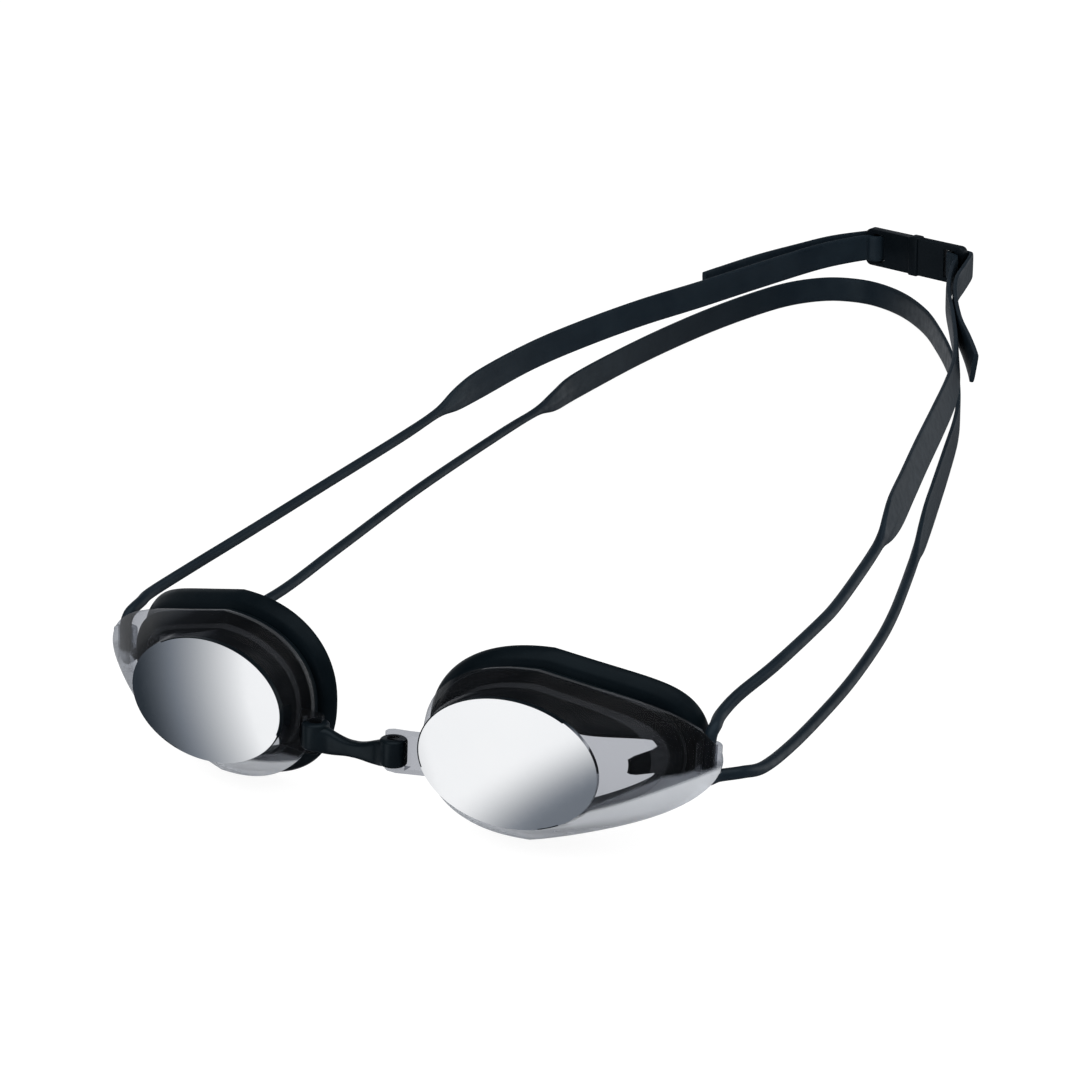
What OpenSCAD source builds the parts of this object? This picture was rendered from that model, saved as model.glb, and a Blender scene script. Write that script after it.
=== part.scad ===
// Racing swim goggles with two mirrored eyecups, soft gaskets, an
// interchangeable nose bridge and a split strap with an adjuster buckle.
// Millimetres. X to the wearer's left, the lenses look along -Y, Z up.

/* [Eyecups] */
// Distance between the two mirror centres
lens_spacing = 69.2; // [64:0.2:74]
// Width of one mirror face
lens_width = 38; // [34:0.5:42]
// Height of one mirror face
lens_height = 26.2; // [23:0.2:29]
// Backward lean of the eyecups at rest, in degrees
lens_rake = 10.5; // [6:0.5:14]
// Outward turn of each mirror face, in degrees
lens_wrap = 3; // [1:0.5:5]
// Depth of the hard shell at the nose
shell_depth_nose = 6.5; // [5:0.5:9]
// Depth of the hard shell at the temple
shell_depth_temple = 14; // [11:0.5:17]
// Wall of the hard shell
shell_wall = 1.6; // [1.2:0.1:2]

/* [Gaskets] */
// Depth of the soft gasket behind the shell
gasket_depth = 8.2; // [6:0.2:10]
// How far the sealing lip stands outside its seat
lip_reach = 4.6; // [3.6:0.1:5.4]

/* [Nose bridge] */
// Distance between the two lug bars
bar_spacing = 18; // [16:0.2:20]
// Diameter of each lug bar
bar_diameter = 2.6; // [2.2:0.1:3]
// Radial clearance of the hook on its bar
bar_clearance = 0.06; // [0.04:0.01:0.1]
// Height of the bridge at its hooks
bridge_height = 5.6; // [5:0.1:7]
// Height of the bridge at its waist
bridge_waist = 3.8; // [3:0.1:5]
// How much lower the waist hangs than the hooks
bridge_sag = 1.5; // [0.5:0.1:2]

/* [Strap] */
// Diameter of the round cord stretches
cord_diameter = 2.5; // [2.2:0.1:3]
// Width of the flat ribbon stretches
ribbon_width = 8; // [7:0.2:9]
// Thickness of the flat ribbon stretches
ribbon_thickness = 1.4; // [1.2:0.1:1.6]
// Reach of the strap loop behind the lenses
loop_depth = 348; // [320:1:380]

/* [Buckle] */
// Length of the buckle along the strap
buckle_length = 36; // [32:0.5:40]
// Height of the buckle
buckle_height = 11.4; // [10.4:0.2:13]
// Thickness of the buckle frame
buckle_thickness = 2.6; // [2.2:0.1:3]

/* [Hidden] */
$fn = 48;

clear_smoke = [0.62, 0.66, 0.7, 0.5];
mirror_grey = [0.75, 0.78, 0.82];
soft_black = [0.06, 0.08, 0.1];
strap_slate = [0.12, 0.16, 0.2];

// Points round each eyecup outline
ring_n = 48;
cup_x = lens_spacing / 2;
lens_a = lens_width / 2;
lens_b = lens_height / 2;

// Outline of the gasket's seat on the shell's back
back_x = cup_x + 1.6;
back_z = -0.65;
back_a = lens_a + 2.3;
back_b = lens_b + 2.4;

// How far the shell's flange stands outside the gasket's seat
flange = 1.9;

// Lowest point of a leaning gasket decides the height of the lenses
lip_low = back_b + lip_reach - back_z;
lip_deep = (shell_depth_nose + shell_depth_temple) / 2 + gasket_depth * 0.8;
lens_z = lip_low * cos(lens_rake) + lip_deep * sin(lens_rake) - 1.5218;

// The frame's origin lies under the middle of the eyecups
mid_y = (shell_depth_temple + gasket_depth) / 2 - 0.6562;

bar_x = bar_spacing / 2;
hook_wall = 1.5;
bar_y = 0.6;
bar_z = -2.9;

// Upright tunnel for the cord behind the temple wing
tunnel_x = cup_x + 34;
tunnel_y = shell_depth_temple + 4.2;
tunnel_z = 2.2;
tunnel_radius = cord_diameter / 2 + 0.35;
boss_radius = tunnel_radius + 1.25;
boss_height = 6.4;

// Reach of the seat and of the wing toward the temple
seat_out = tunnel_x - back_x - 5.8;
wing_out = tunnel_x + 3 - back_x;

// Point of the leaning eyecup in the common frame
function lean(p) = [
    p[0],
    p[1] * cos(lens_rake) + p[2] * sin(lens_rake) - mid_y,
    lens_z + p[2] * cos(lens_rake) - p[1] * sin(lens_rake)];

function mix(a, b, t) = a + (b - a) * t;
function unit(v) = v / norm(v);
function spow(c, e) = sign(c) * pow(abs(c), e);

// Depth of the shell's back edge at distance x from the middle of the face
function back_depth(x) = mix(shell_depth_nose, shell_depth_temple,
    pow(max(0, (x - back_x + back_a) / (2 * back_a)), 1.7));

// One ring of the lens front at depth y
function front_ring(a, b, y) = [for (i = [0 : ring_n - 1])
    let (t = 360 * i / ring_n)
    [cup_x + a * cos(t), y + a * cos(t) * tan(lens_wrap), b * sin(t)]];

// Rounded temple end: half height at share u of the reach
function blunt(u, from, to, k) = mix(from, to, pow(u, 1.1)) * sqrt(max(0, 1 - pow(u, k)));

// Lip's reach round the eye, fullest at the brow
function lip_share(t) = lip_reach / 3.6 * mix(0.72, 1, (sin(t) + 1) / 2);

// One ring at the gasket's seat, grown by off and by grow shares of the lip, pushed back by dy
function back_ring(off, dy, grow = 0) = [for (i = [0 : ring_n - 1])
    let (t = 360 * i / ring_n, o = off + grow * lip_share(t))
    let (u = pow(max(0, cos(t)), 0.9), c = spow(cos(t), 0.88), b = back_b + o)
    u > 0
        ? [back_x + (seat_out + o) * u, back_depth(back_x + seat_out * u) + dy,
            back_z + 2 * pow(u, 1.5) + sign(sin(t)) * blunt(u, b, b - 8, 8)]
        : [back_x + (back_a + o) * c, back_depth(back_x + back_a * c) + dy,
            back_z + b * spow(sin(t), 0.88)]];

// Edge of the shell, drawn out to a blunt wing at the temple; dy moves it
// back all round, tip_dy at the tip
function wing_ring(shrink, dy, tip_dy) = [for (i = [0 : ring_n - 1])
    let (t = 360 * i / ring_n, out = max(0, cos(t)))
    let (u = pow(out, 0.9), c = spow(cos(t), 0.84), b = back_b + flange)
    u > 0
        ? [back_x + (wing_out - shrink) * u,
            back_depth(back_x + (wing_out - shrink) * u) + dy + tip_dy * out,
            back_z + 2.4 * pow(u, 1.5) + sign(sin(t)) * blunt(u, b, b - 9.4 - shrink, 6)]
        : [back_x + (back_a + flange) * c, back_depth(back_x + back_a * c) + dy,
            back_z + b * spow(sin(t), 0.84)]];

function mix_ring(a, b, t) = [for (i = [0 : len(a) - 1]) mix(a[i], b[i], t)];

// Ring between two others whose width grows faster than its depth
function bulge_ring(a, b, t) = let (g = pow(t, 0.78)) [for (i = [0 : len(a) - 1])
    [mix(a[i][0], b[i][0], g), mix(a[i][1], b[i][1], t), mix(a[i][2], b[i][2], g)]];

// Closed loft through rings of equal length, capped at both ends
module loft(rings) {
    n = len(rings[0]);
    m = len(rings);
    pts = [for (r = rings) each r];
    sides = [for (j = [0 : m - 2], i = [0 : n - 1])
        let (k = (i + 1) % n)
        each [[j * n + i, j * n + k, (j + 1) * n + k],
            [j * n + i, (j + 1) * n + k, (j + 1) * n + i]]];
    polyhedron(
        points = pts,
        faces = concat([[for (i = [0 : n - 1]) n - 1 - i]], sides,
            [[for (i = [0 : n - 1]) (m - 1) * n + i]]),
        convexity = 8);
}

// Closed ring through profiles of equal length, last joined to first
module ring_loft(profiles) {
    n = len(profiles[0]);
    m = len(profiles);
    pts = [for (r = profiles) each r];
    polyhedron(
        points = pts,
        faces = [for (j = [0 : m - 1], i = [0 : n - 1])
            let (k = (i + 1) % n, l = (j + 1) % m)
            each [[j * n + i, j * n + k, l * n + k],
                [j * n + i, l * n + k, l * n + i]]],
        convexity = 8);
}

module leaning() {
    translate([0, -mid_y, lens_z])
        rotate([-lens_rake, 0, 0])
            children();
}

// The dome of the lens front at share s of its width
function dome(s) = -1.5 + 1.0 * s * s;

// Hard shell: domed front, bevelled rim, flank drawn out to the temple wing,
// back flange and hollow
module shell() {
    side = front_ring(lens_a + 0.5, lens_b + 0.5, 2.4);
    edge = wing_ring(0, -1.2, 0);
    inner_front = front_ring(lens_a - shell_wall, lens_b - shell_wall, 1.4);
    inner_back = back_ring(-shell_wall + 0.4, 0);
    loft([
        front_ring(lens_a * 0.35, lens_b * 0.35, dome(0.35)),
        front_ring(lens_a * 0.68, lens_b * 0.68, dome(0.68)),
        front_ring(lens_a - 0.9, lens_b - 0.9, dome(0.95)),
        front_ring(lens_a, lens_b, 0.5),
        side,
        bulge_ring(side, edge, 0.2),
        bulge_ring(side, edge, 0.45),
        bulge_ring(side, edge, 0.7),
        bulge_ring(side, edge, 0.9),
        edge,
        wing_ring(0.6, 0, 1.2),
        back_ring(1.5, 0),
        inner_back,
        mix_ring(inner_front, inner_back, 0.5),
        inner_front]);
}

// Web with a window, and the bar that the nose bridge hooks round
module nose_lug() {
    arm_in = bridge_height / 2 + 0.35;
    hook_out = bar_diameter / 2 + hook_wall + 0.4;
    root = cup_x - lens_a + 2;
    tall = 2 * arm_in + 2.2;
    difference() {
        translate([0, 0, bar_z])
            linear_extrude(height = tall, center = true)
                polygon([[bar_x - 0.6, bar_y - 1.4], [bar_x + 1.5, bar_y - 1.7], [root, 0.9],
                    [root, 4], [bar_x + 3, bar_y + 1.9], [bar_x - 0.6, bar_y + 1.4],
                    [bar_x - 1.6, bar_y + 0.6], [bar_x - 1.6, bar_y - 0.6]]);
        translate([bar_x - 10 + hook_out, bar_y, bar_z])
            cube([20, 20, 2 * arm_in], center = true);
    }
    translate([bar_x, bar_y, bar_z])
        cylinder(d = bar_diameter, h = 2 * arm_in + 1, center = true);
}

module lens_solid() {
    leaning() {
        difference() {
            union() {
                shell();
                nose_lug();
                translate([tunnel_x, tunnel_y, tunnel_z])
                    cylinder(r = boss_radius, h = boss_height, center = true);
            }
            translate([tunnel_x, tunnel_y, tunnel_z])
                cylinder(r = tunnel_radius, h = 30, center = true);
        }
    }
}

// Thin metallic coat bonded on the front of a lens
module mirror_solid() {
    leaning()
        loft([
            front_ring(lens_a * 0.35, lens_b * 0.35, dome(0.35) - 0.3),
            front_ring(lens_a * 0.68, lens_b * 0.68, dome(0.68) - 0.3),
            front_ring(lens_a - 0.9, lens_b - 0.9, dome(0.95) - 0.3),
            front_ring(lens_a - 0.9, lens_b - 0.9, dome(0.95)),
            front_ring(lens_a * 0.68, lens_b * 0.68, dome(0.68)),
            front_ring(lens_a * 0.35, lens_b * 0.35, dome(0.35))]);
}

// Share of the shell's inner wall that the gasket lines: a collar over brow
// and nose, and a pad at the temple
function ramp(x, a, b) = let (t = min(1, max(0, (x - a) / (b - a)))) t * t * (3 - 2 * t);
function lining(t) = max(0.06,
    0.92 * ramp(t, 18, 46) * (1 - ramp(t, 196, 226)),
    0.5 * (1 - ramp(min(t, 360 - t), 8, 15)));

// One ring of that lining, d inside the wall, at a share of its length
function lining_ring(d, share) =
    let (seat = back_ring(-1.25 - d, 0),
        front = front_ring(lens_a - shell_wall - 0.05 - d, lens_b - shell_wall - 0.05 - d, 1.5 + d * 0.5))
    [for (i = [0 : ring_n - 1]) mix(seat[i], front[i], lining(360 * i / ring_n) * share)];

module gasket_solid() {
    d = gasket_depth / 8.2;
    leaning()
        ring_loft([
            back_ring(1.0, 0),
            back_ring(1.5, 0.5 * d),
            back_ring(1.5, 2.0 * d),
            back_ring(0.6, 2.5 * d),
            back_ring(0.6, 3.1 * d),
            back_ring(0, 3.7 * d, 2.1),
            back_ring(0, 5.1 * d, 3.2),
            back_ring(0, 6.6 * d, 3.6),
            back_ring(0, 7.7 * d, 2.9),
            back_ring(1.0, 8.2 * d),
            back_ring(-1.6, 7.5 * d),
            back_ring(-2.6, 5.5 * d),
            back_ring(-2.4, 2.0 * d),
            lining_ring(1.0, 0),
            lining_ring(1.0, 0.5),
            lining_ring(1.0, 1),
            lining_ring(0.3, 1),
            lining_ring(0.3, 0.5),
            lining_ring(0.3, 0)]);
}

// Strap routes: x, y, z, height and thickness of the section, and its twist
wx = tunnel_x / 68.6;
wy = loop_depth / 348;
cd = cord_diameter;
rw = ribbon_width;
rt = ribbon_thickness;
low = rw / 2 + 0.1;

function at_tunnel(s, w, back = 0) =
    let (p = lean([tunnel_x, tunnel_y, tunnel_z + w])) [s * p[0], p[1] + back, p[2], cd, cd, 0];
function spot(x, y, z, w, t, twist = 0) = [x * wx, y * wy - mid_y, z, w, t, twist];
function cord(x, y, z) = spot(x, y, z, cd, cd);
function flare(x, y, z, twist = 0) = spot(x, y, z, rw * 0.75, 2, twist);
function flat(x, y, z, twist = 0) = spot(x, y, z, rw, rt, twist);

// Seam places where the cords pass into the loops, per side
function low_seam(s) = s > 0 ? cord(74.5, 47, 10) : cord(-66.5, 47, 11.5);
function low_next(s) = s > 0 ? cord(74.4, 66, 8) : cord(-65.3, 71, 8.6);
function low_last(s) = s > 0 ? cord(74.4, 32, 12.8) : cord(-67.8, 32, 14);
function up_seam(s) = s > 0 ? cord(71.2, 46, 27.9) : cord(-68.7, 46, 26.7);
function up_next(s) = s > 0 ? cord(72.9, 66, 28) : cord(-67, 66, 27);
function up_last(s) = s > 0 ? cord(68.8, 33, 27.2) : cord(-70, 31, 26.3);

// Cord through a temple tunnel, from the lower seam to the upper seam
function cord_route(s) = [
    low_next(s),
    low_seam(s),
    low_last(s),
    cord(s > 0 ? 72.8 : -68.6, 25, 15),
    cord(s * 69.4, 21.2, 15.5),
    at_tunnel(s, -4.7, 0.7),
    at_tunnel(s, -3),
    at_tunnel(s, 0),
    at_tunnel(s, 3),
    at_tunnel(s, 4.7, 0.7),
    cord(s * 68.7, 21.6, 26.2),
    cord(s > 0 ? 68 : -69.3, 26, 26.3),
    up_last(s),
    up_seam(s),
    up_next(s)];

// Whole lower loop, from one lower seam round the head to the other
lower_route = [
    low_last(-1),
    low_seam(-1),
    low_next(-1),
    cord(-66.9, 103, 7.3),
    cord(-68.4, 146, 6.2),
    cord(-68, 191, 4.9),
    cord(-67.1, 211, 4.3),
    flare(-66.6, 222, 3.9),
    flat(-65.9, 236, low),
    flat(-60.6, 269, low),
    flat(-53.3, 299, low),
    flat(-45.5, 321.5, low),
    flat(-38, 336.5, low),
    flat(-28.8, 345, low),
    flat(-19, 347, low),
    flat(-9.5, 344.5, low),
    flat(1.2, 337, low),
    flat(12, 324.5, low),
    flat(20.8, 310, low),
    flat(29.7, 293, low),
    flat(37.5, 275, low),
    flat(44, 256, low),
    flat(48.6, 239, low, 3),
    flat(53.3, 215.5, low, 7),
    flat(57.2, 195, low, 8),
    flat(60.3, 178.5, low, 8),
    flare(63, 164.5, 3.75, 6),
    cord(65.3, 152.5, 4.2),
    cord(67.9, 138.5, 4.6),
    cord(70.9, 121, 5.2),
    cord(72.8, 105, 5.8),
    cord(74.1, 84, 6.8),
    low_next(1),
    low_seam(1),
    low_last(1)];

// Buckle place on the upper loop
loop_z = 30.4;
buckle_at = [13.6 * wx, 308.7 * wy - mid_y, loop_z];
buckle_turn = -19;
bar_in = buckle_length / 2 - 3;
gap_y = buckle_thickness / 2 + 0.45 + rt / 2;
function in_buckle(x, y) = [
    buckle_at[0] + x * cos(buckle_turn) - y * sin(buckle_turn),
    buckle_at[1] + x * sin(buckle_turn) + y * cos(buckle_turn),
    buckle_at[2], rw, rt, 0];

// Turn of a ribbon round the end bar of the buckle
function bar_turn(s) = [
    in_buckle(s * (bar_in + 2.4), -gap_y - 1.3),
    in_buckle(s * bar_in, -gap_y),
    in_buckle(s * (bar_in - gap_y * 0.71), -gap_y * 0.71),
    in_buckle(s * (bar_in - gap_y), 0),
    in_buckle(s * (bar_in - gap_y * 0.71), gap_y * 0.71),
    in_buckle(s * bar_in, gap_y),
    in_buckle(s * (bar_in + 2.8), gap_y),
    in_buckle(s * (bar_in + 5.4), gap_y - 1.6)];

// Front stretches of the upper loop
left_front_route = [
    up_last(-1),
    up_seam(-1),
    up_next(-1),
    cord(-65.2, 94, 27.2),
    cord(-62.7, 128.5, 27.6),
    cord(-62, 146, 27.9),
    flare(-61.6, 156, 28.3),
    flat(-60.6, 168, 28.8),
    flat(-56.9, 190, 29.5),
    flat(-51.1, 209.5, 30),
    flat(-42.7, 231.5, loop_z)];
right_front_route = [
    up_last(1),
    up_seam(1),
    up_next(1),
    cord(73.2, 77, 28),
    cord(72.4, 95, 28.2),
    cord(71.7, 106.5, 28.6),
    flare(70.8, 115.5, 28.9, -12),
    flat(69.5, 125, 29.2, -18),
    flat(67.4, 140, 29.6, -18),
    flat(64.8, 158, 30, -18),
    flat(61.6, 181, 30.2, -17),
    flat(58.8, 199.5, loop_z, -14)];

// Rear stretches with the turn in the buckle and the free tail
left_end_route = concat(
    [flat(-56.9, 190, 29.5),
        flat(-51.1, 209.5, 30),
        flat(-42.7, 231.5, loop_z),
        flat(-33.2, 252.7, loop_z),
        flat(-23.6, 275.6, loop_z),
        flat(-13.2, 298.5, loop_z)],
    bar_turn(-1),
    [flat(-13, 307.5, loop_z),
        flat(-19.8, 296, loop_z),
        flat(-27, 282.5, loop_z),
        flat(-33.2, 267.3, loop_z),
        flat(-35.5, 261.2, loop_z),
        flat(-38.2, 253.3, loop_z)]);
right_end_route = concat(
    [flat(64.8, 158, 30, -18),
        flat(61.6, 181, 30.2, -17),
        flat(58.8, 199.5, loop_z, -14),
        flat(55.5, 215, loop_z, -9),
        flat(50.4, 231.3, loop_z, -4),
        flat(43.2, 250.7, loop_z),
        flat(36.3, 271.5, loop_z),
        flat(31.9, 289, loop_z)],
    bar_turn(1),
    [flat(35.4, 292, loop_z),
        flat(37.3, 281, loop_z),
        flat(41.4, 267, loop_z),
        flat(47, 248, loop_z),
        flat(53.4, 232.3, loop_z, -4),
        flat(59, 219.3, loop_z, -8),
        flat(63, 208, loop_z, -10)]);

// Smooth curve through route points; first and last only steer it
function curve(r, i, t) = let (a = r[i - 1], b = r[i], c = r[i + 1], d = r[i + 2])
    0.5 * (2 * b + (c - a) * t + (2 * a - 5 * b + 4 * c - d) * t * t + (3 * b - a - 3 * c + d) * t * t * t);
function slope(r, i, t) = let (a = r[i - 1], b = r[i], c = r[i + 1], d = r[i + 2])
    0.5 * ((c - a) + 2 * (2 * a - 5 * b + 4 * c - d) * t + 3 * (3 * b - a - 3 * c + d) * t * t);
function xyz(p) = [p[0], p[1], p[2]];
function level(n, t) = unit(n - (n * t) * t);

// Solid strap along a route with sections that pass from round to flat
module strap(route, steps = 3) {
    segs = len(route) - 3;
    places = [for (i = [1 : segs], k = [0 : steps - 1]) [i, k / steps]];
    marks = concat(places, [[segs, 1]]);
    count = len(marks);
    mids = [for (m = marks) curve(route, m[0], m[1])];
    ways = [for (m = marks) unit(xyz(slope(route, m[0], m[1])))];
    sides = [for (i = 0, n = level([1, 0, 0], ways[0]); i < count;
        i = i + 1, n = i < count ? level(n, ways[i]) : n) n];
    loft([for (i = [0 : count - 1])
        let (w = max(mids[i][3], 0.4), t = max(mids[i][4], 0.4))
        let (e = mix(1, 0.5, min(1, max(0, (w / t - 1) / 3))))
        let (up = cross(ways[i], sides[i]), turn = mids[i][5])
        let (across = cos(turn) * sides[i] + sin(turn) * up, along = cos(turn) * up - sin(turn) * sides[i])
        [for (k = [0 : 11])
            let (a = 30 * k)
            xyz(mids[i]) + t / 2 * spow(cos(a), e) * across + w / 2 * spow(sin(a), e) * along]]);
}

// Upper (s = 1) or lower (s = -1) edge of the bridge, seen from the front
function bridge_edge(x, s) = let (share = pow(abs(x) / bar_x, 2.2))
    s / 2 * mix(bridge_waist, bridge_height - 0.2, share) - bridge_sag * (1 - share);

// Dog-bone bridge hooked round both lug bars
module nose_bridge() {
    hook = bar_diameter / 2 + hook_wall;
    steps = 12;
    color(soft_black)
        leaning()
            difference() {
                union() {
                    for (s = [-1, 1])
                        translate([s * bar_x, bar_y, bar_z])
                            cylinder(r = hook, h = bridge_height, center = true);
                    translate([0, bar_y - 0.2, bar_z])
                        rotate([90, 0, 0])
                            linear_extrude(height = bar_diameter, center = true)
                                polygon([for (s = [1, -1], i = [-steps : steps])
                                    let (x = s * bar_x * i / steps)
                                    [x, bridge_edge(x, s)]]);
                }
                for (s = [-1, 1])
                    translate([s * bar_x, bar_y, bar_z])
                        cylinder(d = bar_diameter + 2 * bar_clearance, h = 40, center = true);
            }
}

module left_lens() {
    color(clear_smoke) lens_solid();
}

module right_lens() {
    color(clear_smoke) mirror([1, 0, 0]) lens_solid();
}

module left_mirror() {
    color(mirror_grey) mirror_solid();
}

module right_mirror() {
    color(mirror_grey) mirror([1, 0, 0]) mirror_solid();
}

module left_gasket() {
    color(soft_black) gasket_solid();
}

module right_gasket() {
    color(soft_black) mirror([1, 0, 0]) gasket_solid();
}

module left_cord() {
    color(strap_slate) strap(cord_route(1), 4);
}

module right_cord() {
    color(strap_slate) strap(cord_route(-1), 4);
}

module lower_strap() {
    color(strap_slate) strap(lower_route, 3);
}

module upper_left_strap() {
    color(strap_slate) strap(right_front_route, 3);
}

module upper_right_strap() {
    color(strap_slate) strap(left_front_route, 3);
}

module upper_left_end() {
    color(strap_slate) strap(right_end_route, 3);
}

module upper_right_end() {
    color(strap_slate) strap(left_end_route, 3);
}

// Adjuster frame with a rib in the middle and slit end bars
module strap_buckle() {
    win_h = rw + 0.8;
    win_w = gap_y + rt / 2 + 0.8;
    color(soft_black)
        translate(buckle_at)
            rotate([0, 0, buckle_turn])
                difference() {
                    union() {
                        rotate([90, 0, 0])
                            linear_extrude(height = buckle_thickness, center = true)
                                offset(r = 1.6)
                                    square([buckle_length - 3.2, buckle_height - 3.2], center = true);
                        rotate([90, 0, 0])
                            linear_extrude(height = buckle_thickness + 1.2, center = true)
                                offset(r = 0.8)
                                    square([1.8, buckle_height - 1], center = true);
                    }
                    for (s = [-1, 1]) {
                        translate([s * (bar_in - win_w / 2), 0, 0])
                            cube([win_w, 20, win_h], center = true);
                        translate([s * buckle_length / 2, 0, 0])
                            cube([8, 20, 0.8], center = true);
                    }
                }
}

nose_bridge();
left_lens();
right_lens();
left_mirror();
right_mirror();
left_gasket();
right_gasket();
left_cord();
right_cord();
lower_strap();
upper_left_strap();
upper_right_strap();
upper_left_end();
upper_right_end();
strap_buckle();
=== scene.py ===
import math

import bmesh
import bpy
import numpy as np
from mathutils import Matrix, Vector


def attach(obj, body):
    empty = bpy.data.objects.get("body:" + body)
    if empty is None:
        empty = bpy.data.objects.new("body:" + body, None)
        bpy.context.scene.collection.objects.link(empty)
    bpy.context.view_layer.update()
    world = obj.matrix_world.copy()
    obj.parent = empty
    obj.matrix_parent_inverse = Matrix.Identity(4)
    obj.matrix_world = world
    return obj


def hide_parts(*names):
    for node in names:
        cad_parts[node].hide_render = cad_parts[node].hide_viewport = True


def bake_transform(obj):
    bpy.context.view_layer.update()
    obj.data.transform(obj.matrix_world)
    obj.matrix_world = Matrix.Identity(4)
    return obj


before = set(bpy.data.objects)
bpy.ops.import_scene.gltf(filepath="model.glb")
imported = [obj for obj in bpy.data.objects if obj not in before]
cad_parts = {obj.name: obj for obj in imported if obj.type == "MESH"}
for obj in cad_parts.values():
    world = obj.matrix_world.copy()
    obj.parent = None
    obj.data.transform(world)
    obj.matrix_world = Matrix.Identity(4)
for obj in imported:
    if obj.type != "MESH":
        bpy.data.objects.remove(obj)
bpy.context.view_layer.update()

MM = 0.001

# Place and lean of the eyecups in the common frame, as in the part's source; lengths in millimetres
MID_Y, LENS_Z = 10.4438, 21.944
RAKE = math.radians(10.5)
WRAP = math.tan(math.radians(3))

# Lens shell and mirror film
CUP_X = 34.6
LENS_A, LENS_B = 19.0, 13.1
DOME_RISE, DOME_EDGE = 1.5, 0.95
STEP_OUT, STEP_DEPTH = 0.5, 2.4
WALL, INNER_FRONT = 1.6, 1.4
DEPTH_NOSE, DEPTH_TEMPLE = 6.5, 14.0
BACK_X, BACK_Z = CUP_X + 1.6, -0.65
BACK_A, BACK_B = LENS_A + 2.3, LENS_B + 2.4
FLANGE = 1.9
FLANK_SWELL = 0.78
FILM_A, FILM_B = LENS_A - 0.1, LENS_B - 0.1
FILM_OVER, FILM_UNDER = 0.3, 0.02
AROUND = 144

# Temple tunnel and the reach of seat and wing toward it
TUNNEL_X, TUNNEL_Y, TUNNEL_Z = CUP_X + 34, DEPTH_TEMPLE + 4.2, 2.2
SEAT_OUT, WING_OUT = TUNNEL_X - BACK_X - 5.8, TUNNEL_X + 3 - BACK_X
SEAT_RISE, SEAT_TAPER, SEAT_SQUARE = 2, 8, 0.88
WING_RISE, WING_TAPER, WING_SQUARE = 2.4, 9.4, 0.84
BOSS_WALL, BOSS_TALL = 1.3, 5.8

# Gasket
LIP_REACH, LIP_FULL = 4.6, 3.6
LINING_SEAT, LINING_PLAY = 1.25, 0.05
LINING_FACE, LINING_BACK = 1.0, 0.3
LIP_START, FIT_NOSE, FIT_TEMPLE = 2, -0.25, 0.33

# Nose bridge and the lug that holds it
BAR_X, BAR_Y, BAR_Z, BAR_R = 9.0, 0.6, -2.9, 1.3
BRIDGE_H, BRIDGE_WAIST, BRIDGE_SAG, HOOK_R = 5.6, 3.3, 1.2, 2.8
BRIDGE_THIN, BRIDGE_THICK = 2.6, 5.0
BRIDGE_FORWARD, BRIDGE_INSET, BRIDGE_SQUARE = 0.2, 0.2, 0.6
BRIDGE_STEPS, BRIDGE_SIDES = 40, 32
HOOK_PLAY, BAR_PLAY = 0.35, 0.06
LUG_UNDER, LUG_OVER = 0.6, 1.1

# Strap and buckle
CORD, RIBBON_W, RIBBON_T = 2.5, 8.0, 1.4
CORD_PLAY = 0.35
LOW, LOOP_Z = RIBBON_W / 2 + 0.1, 30.4
FLARE_W, FLARE_T = RIBBON_W * 0.75, 1.7
RIDGE, FLARE_RIDGE, RIDGE_WIDE = 0.3, 0.45, 1.1
STRAP_LEAST, STRAP_SQUARE, STRAP_GATHER = 0.4, 0.38, 0.45
BUCKLE = (13.6, 308.7 - MID_Y, LOOP_Z)
BUCKLE_TURN = math.radians(-19)
BUCKLE_L, BUCKLE_H, BUCKLE_T = 36.0, 11.4, 2.6
BUCKLE_CORNER, RIB_WIDE, RIB_OUT = 1.8, 3.4, 0.6
BAR_IN = BUCKLE_L / 2 - 3
BUCKLE_GAP = 0.45
GAP_Y = BUCKLE_T / 2 + BUCKLE_GAP + RIBBON_T / 2
WINDOW_PLAY = 0.8
SLIT_LONG, SLIT_TALL = 8, 0.8
THROUGH = 20


def lean(p):
    """Eyecup point in the common frame, in metres."""
    x, y, z = p
    return Vector((
        x,
        y * math.cos(RAKE) + z * math.sin(RAKE) - MID_Y,
        LENS_Z + z * math.cos(RAKE) - y * math.sin(RAKE),
    )) * MM


def signed_power(c, e):
    return math.copysign(abs(c) ** e, c)


def mix(a, b, t):
    return a + (b - a) * t


def ease(x, a, b):
    """Smooth rise from 0 at a to 1 at b."""
    t = min(1.0, max(0.0, (x - a) / (b - a)))
    return t * t * (3 - 2 * t)


def curve_point(a, b, c, d, t):
    """Point on a smooth curve from b to c, steered by a and d."""
    second, third = 2 * a - 5 * b + 4 * c - d, 3 * b - a - 3 * c + d
    return 0.5 * (2 * b + (c - a) * t + second * t * t + third * t ** 3)


def curve_way(a, b, c, d, t):
    """Direction of that curve, not yet of unit length."""
    second, third = 2 * a - 5 * b + 4 * c - d, 3 * b - a - 3 * c + d
    return 0.5 * ((c - a) + 2 * second * t + 3 * third * t * t)


# Modelling by hand: rings pulled out of a circle, cut and softened by modifiers

def deselect():
    bpy.ops.object.select_all(action="DESELECT")


def pick(obj):
    deselect()
    obj.select_set(True)
    bpy.context.view_layer.objects.active = obj


def smooth(obj, angle=38):
    pick(obj)
    bpy.ops.object.shade_smooth_by_angle(angle=math.radians(angle))


def named(obj, name):
    obj.name = obj.data.name = name
    return obj


def settle(obj):
    pick(obj)
    bpy.ops.object.transform_apply(location=True, rotation=True, scale=True)
    return obj


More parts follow.
